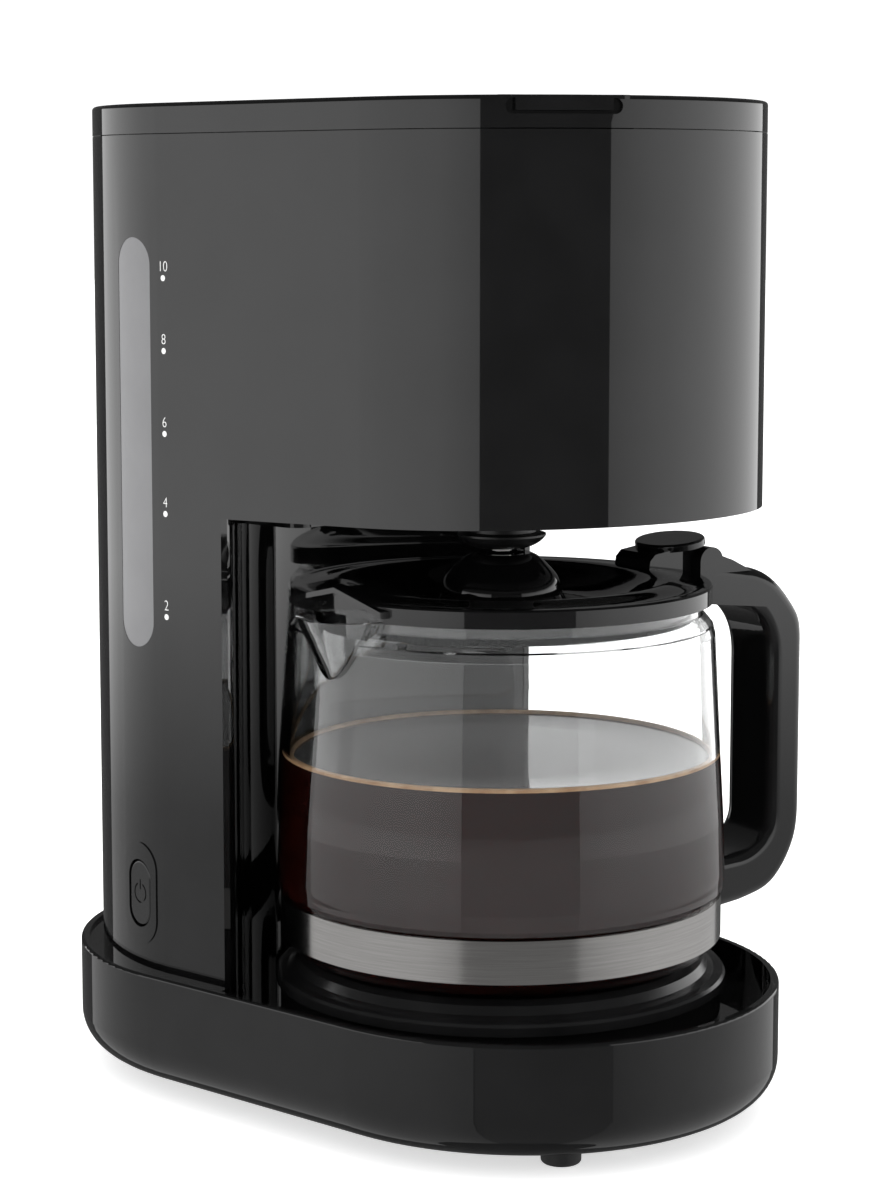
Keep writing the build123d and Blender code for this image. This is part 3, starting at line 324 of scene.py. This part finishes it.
# ---------------------------------------------------------------- extra pieces
def turned(name, profile, material, steps=144):
    """Turns a closed profile of (radius, z) points about the carafe's axis."""
    mesh = bpy.data.meshes.new(name)
    work = bmesh.new()
    rings = []
    for step in range(steps):
        angle = 2 * math.pi * step / steps
        ring = []
        for radius, height in profile:
            across = radius * math.cos(angle)
            along = CARAFE_Y + radius * math.sin(angle)
            ring.append(work.verts.new((across, along, height)))
        rings.append(ring)
    for step in range(steps):
        here, there = rings[step], rings[(step + 1) % steps]
        for index in range(len(profile)):
            after = (index + 1) % len(profile)
            work.faces.new((here[index], there[index], there[after], here[after]))
    bmesh.ops.remove_doubles(work, verts=work.verts, dist=1e-7)
    bmesh.ops.recalc_face_normals(work, faces=work.faces)
    work.to_mesh(mesh)
    work.free()
    for face in mesh.polygons:
        face.use_smooth = True
    mesh.materials.append(material)
    piece = bpy.data.objects.new(name, mesh)
    scene.collection.objects.link(piece)
    return piece


coffee_profile = [
    (AXIS_R, 0.04942),
    (0.0569, 0.04942),
    (0.0632, 0.0515),
    (0.0658, 0.0545),
    (0.0658, 0.0668),
    (0.0672, 0.0695),
    (0.0675, 0.0740),
    (0.0670, 0.0900),
    (0.0658, 0.1096),
    (0.0656, 0.1102),
    (0.0650, 0.1100),
    (0.0640, COFFEE_Z),
    (0.0400, COFFEE_Z),
    (AXIS_R, COFFEE_Z),
]
drink = turned("coffee_drink", coffee_profile, coffee("coffee"))
split = drink.modifiers.new("edges", "EDGE_SPLIT")
split.split_angle = math.radians(50)
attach(drink, "carafe")

foam_profile = []
for step in range(FOAM_STEPS):
    turn = 2 * math.pi * step / FOAM_STEPS
    radius = FOAM_R - FOAM_HALF_W + FOAM_HALF_W * math.cos(turn)
    foam_profile.append((radius, COFFEE_Z + FOAM_RISE + FOAM_HALF_H * math.sin(turn)))
froth = turned("coffee_foam", foam_profile, foam("coffee_foam"), 288)
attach(froth, "carafe")


def numeral(name, text, size, matrix):
    """A raised printed numeral as a mesh, slightly condensed, placed by a matrix."""
    curve = bpy.data.curves.new(name, "FONT")
    curve.body = text
    curve.size = size
    curve.extrude = PRINT_HALF_T
    curve.offset = PRINT_THINNER
    curve.align_x = "CENTER"
    curve.align_y = "CENTER"
    holder = bpy.data.objects.new(name + "_text", curve)
    scene.collection.objects.link(holder)
    bpy.context.view_layer.update()
    mesh = bpy.data.meshes.new_from_object(holder.evaluated_get(bpy.context.evaluated_depsgraph_get()))
    bpy.data.objects.remove(holder)
    mesh.transform(Matrix.Diagonal((PRINT_WIDTH, 1, 1, 1)))
    mesh.transform(matrix)
    mesh.materials.clear()
    mesh.materials.append(MARK_PAINT)
    mesh.name = name
    piece = bpy.data.objects.new(name, mesh)
    scene.collection.objects.link(piece)
    return piece


def dot(name, radius, matrix):
    """A printed dot: a low disc with a rounded edge."""
    mesh = bpy.data.meshes.new(name)
    work = bmesh.new()
    rows = []
    for part, height in ((1.0, 0.0), (1.0, 0.00002), (0.9, 0.00004)):
        row = []
        for step in range(DOT_STEPS):
            turn = 2 * math.pi * step / DOT_STEPS
            across = radius * part * math.cos(turn)
            up = radius * part * math.sin(turn)
            row.append(work.verts.new((across, up, height)))
        rows.append(row)
    for low, high in zip(rows, rows[1:]):
        for step in range(DOT_STEPS):
            after = (step + 1) % DOT_STEPS
            work.faces.new((low[step], low[after], high[after], high[step]))
    work.faces.new(rows[-1])
    work.faces.new(list(reversed(rows[0])))
    work.transform(matrix)
    work.to_mesh(mesh)
    work.free()
    mesh.materials.append(MARK_PAINT)
    piece = bpy.data.objects.new(name, mesh)
    scene.collection.objects.link(piece)
    return piece


def facing(origin, out):
    """Matrix of a plane at origin that faces out, with its y axis up."""
    up = Vector((0, 0, 1))
    across = up.cross(out).normalized()
    matrix = Matrix((across, up, out)).transposed().to_4x4()
    matrix.translation = origin
    return matrix


left = Vector((-1, 0, 0))
for text, height in MARKS:
    above = Vector((MARK_X, MARK_Y, height + MARK_RISE))
    number = numeral(f"mark_{text}", text, MARK_SIZE, facing(above, left))
    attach(number, "machine")
    point = dot(f"mark_{text}_dot", DOT_R, facing(Vector((MARK_X, MARK_Y, height)), left))
    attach(point, "machine")

outward = Vector((math.cos(GLASS_MARK_ANGLE), math.sin(GLASS_MARK_ANGLE), 0))
glass_point = Vector((0, CARAFE_Y, GLASS_MARK_Z)) + outward * (GLASS_MARK_R + GLASS_MARK_PROUD)
above = glass_point + Vector((0, 0, GLASS_MARK_RISE))
cup_mark = numeral("cup_mark_10", "10", GLASS_MARK_SIZE, facing(above, outward))
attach(cup_mark, "carafe")
cup_dot = dot("cup_mark_10_dot", GLASS_DOT_R, facing(glass_point, outward))
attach(cup_dot, "carafe")


# ---------------------------------------------------------------- studio
def glow_material(name, strength):
    """Light card: emission scaled by the mesh's own falloff."""
    material = bpy.data.materials.new(name)
    material.use_nodes = True
    tree = material.node_tree
    tree.nodes.clear()
    output = tree.nodes.new("ShaderNodeOutputMaterial")
    emission = tree.nodes.new("ShaderNodeEmission")
    falloff = tree.nodes.new("ShaderNodeAttribute")
    falloff.attribute_name = "falloff"
    level = tree.nodes.new("ShaderNodeMath")
    level.operation = "MULTIPLY"
    level.inputs[1].default_value = strength
    tree.links.new(falloff.outputs["Fac"], level.inputs[0])
    tree.links.new(level.outputs["Value"], emission.inputs["Strength"])
    tree.links.new(emission.outputs["Emission"], output.inputs["Surface"])
    return material


def between(levels, share):
    """Value at a share from 0 to 1 along evenly spaced levels."""
    place = share * (len(levels) - 1)
    index = min(int(place), len(levels) - 2)
    return levels[index] + (levels[index + 1] - levels[index]) * (place - index)


def fade(height, low_level, span):
    """Brightness of a card by height: it changes to low_level over the span and goes out at the top."""
    share = min(max((span[0] - height) / (span[0] - span[1]), 0.0), 1.0)
    top = min(max((CARD_HIGH_Z - height) / (CARD_HIGH_Z - CARD_DIM_Z), 0.0), 1.0)
    return (1.0 + (low_level - 1.0) * share) * top


def card(name, radius, angles, strength, levels, low_level, span=CARD_FADE):
    """A curved light card round the machine; levels are its brightnesses at even steps along the arc."""
    work = bmesh.new()
    layer = work.verts.layers.float.new("falloff")
    grid = []
    for column in range(CARD_COLUMNS + 1):
        share = column / CARD_COLUMNS
        angle = math.radians(angles[0] + (angles[1] - angles[0]) * share)
        level = between(levels, share)
        line = []
        for row in range(CARD_ROWS + 1):
            height = CARD_LOW_Z + (CARD_HIGH_Z - CARD_LOW_Z) * row / CARD_ROWS
            vert = work.verts.new((radius * math.cos(angle), radius * math.sin(angle), height))
            vert[layer] = level * fade(height, low_level, span)
            line.append(vert)
        grid.append(line)
    for column in range(CARD_COLUMNS):
        for row in range(CARD_ROWS):
            here, there = grid[column], grid[column + 1]
            work.faces.new((here[row], there[row], there[row + 1], here[row + 1]))
    mesh = bpy.data.meshes.new(name)
    work.to_mesh(mesh)
    work.free()
    mesh.materials.append(glow_material(name, strength))
    piece = bpy.data.objects.new(name, mesh)
    scene.collection.objects.link(piece)
    piece.visible_camera = False
    piece.visible_shadow = False
    piece.visible_transmission = False
    return piece


card("softbox_left", CARD_R, (86, 203), 1.6, (1.15, 1.05, 1.0, 1.0, 1.0, 0.95, 0.72), CARD_FOOT)
card("softbox_right", CARD_R, (-101, 4), 1.85, (0.55, 0.8, 0.95, 1.0, 0.95, 0.9), CARD_FOOT)
flag = card("dark_flag", FLAG_R, (203, 259), 0.13, (1.0, 1.0), 1.9, FLAG_FADE)
flag.visible_diffuse = False

top_data = bpy.data.lights.new("top_light", "AREA")
top_data.shape = "DISK"
top_data.size = TOP_SIZE
top_data.energy = TOP_POWER
top_light = bpy.data.objects.new("top_light", top_data)
top_light.location = (0.0, 0.0, TOP_Z)
scene.collection.objects.link(top_light)
top_light.visible_camera = False
top_light.visible_glossy = False

floor_mesh = bpy.data.meshes.new("floor")
work = bmesh.new()
bmesh.ops.create_circle(work, cap_ends=True, segments=96, radius=FLOOR_R)
work.to_mesh(floor_mesh)
work.free()
floor = bpy.data.objects.new("floor", floor_mesh)
scene.collection.objects.link(floor)
floor_look = plastic(
    "floor_paper",
    ((0.90, 0.90, 0.90), (0.92, 0.92, 0.92)),
    (0.8, 0.9),
    60.0,
    (0.02, 0.0002),
)
glow = floor_look.node_tree.nodes["Principled BSDF"]
glow.inputs["Emission Color"].default_value = (1, 1, 1, 1)
glow.inputs["Emission Strength"].default_value = FLOOR_GLOW
floor_mesh.materials.append(floor_look)
floor.location.z = FLOOR_Z
floor.visible_glossy = False

world = bpy.data.worlds.new("studio")
scene.world = world
world.use_nodes = True
tree = world.node_tree
tree.nodes.clear()
world_out = tree.nodes.new("ShaderNodeOutputWorld")
bright = tree.nodes.new("ShaderNodeBackground")
bright.inputs["Color"].default_value = (1, 1, 1, 1)
bright.inputs["Strength"].default_value = WORLD_BRIGHT
dim = tree.nodes.new("ShaderNodeBackground")
dim.inputs["Color"].default_value = (1, 1, 1, 1)
dim.inputs["Strength"].default_value = WORLD_MIRRORED
paths = tree.nodes.new("ShaderNodeLightPath")
mirror = tree.nodes.new("ShaderNodeMath")
mirror.operation = "SUBTRACT"
mirror.use_clamp = True
mix = tree.nodes.new("ShaderNodeMixShader")
tree.links.new(paths.outputs["Is Glossy Ray"], mirror.inputs[0])
tree.links.new(paths.outputs["Is Transmission Ray"], mirror.inputs[1])
tree.links.new(mirror.outputs["Value"], mix.inputs["Fac"])
tree.links.new(bright.outputs["Background"], mix.inputs[1])
tree.links.new(dim.outputs["Background"], mix.inputs[2])
tree.links.new(mix.outputs["Shader"], world_out.inputs["Surface"])

scene.view_settings.view_transform = "Standard"

# ---------------------------------------------------------------- camera
camera_data = bpy.data.cameras.new("camera")
camera = bpy.data.objects.new("camera", camera_data)
scene.collection.objects.link(camera)
camera.location = CAMERA_PLACE
camera.rotation_mode = "QUATERNION"
camera.rotation_quaternion = CAMERA_LOOK.to_track_quat("-Z", "Y")
camera_data.lens = CAMERA_LENS
camera_data.sensor_width = 36.0
camera_data.shift_x = CAMERA_SHIFT[0]
camera_data.shift_y = CAMERA_SHIFT[1]
camera_data.clip_start = 0.01
camera_data.clip_end = 50.0
scene.camera = camera
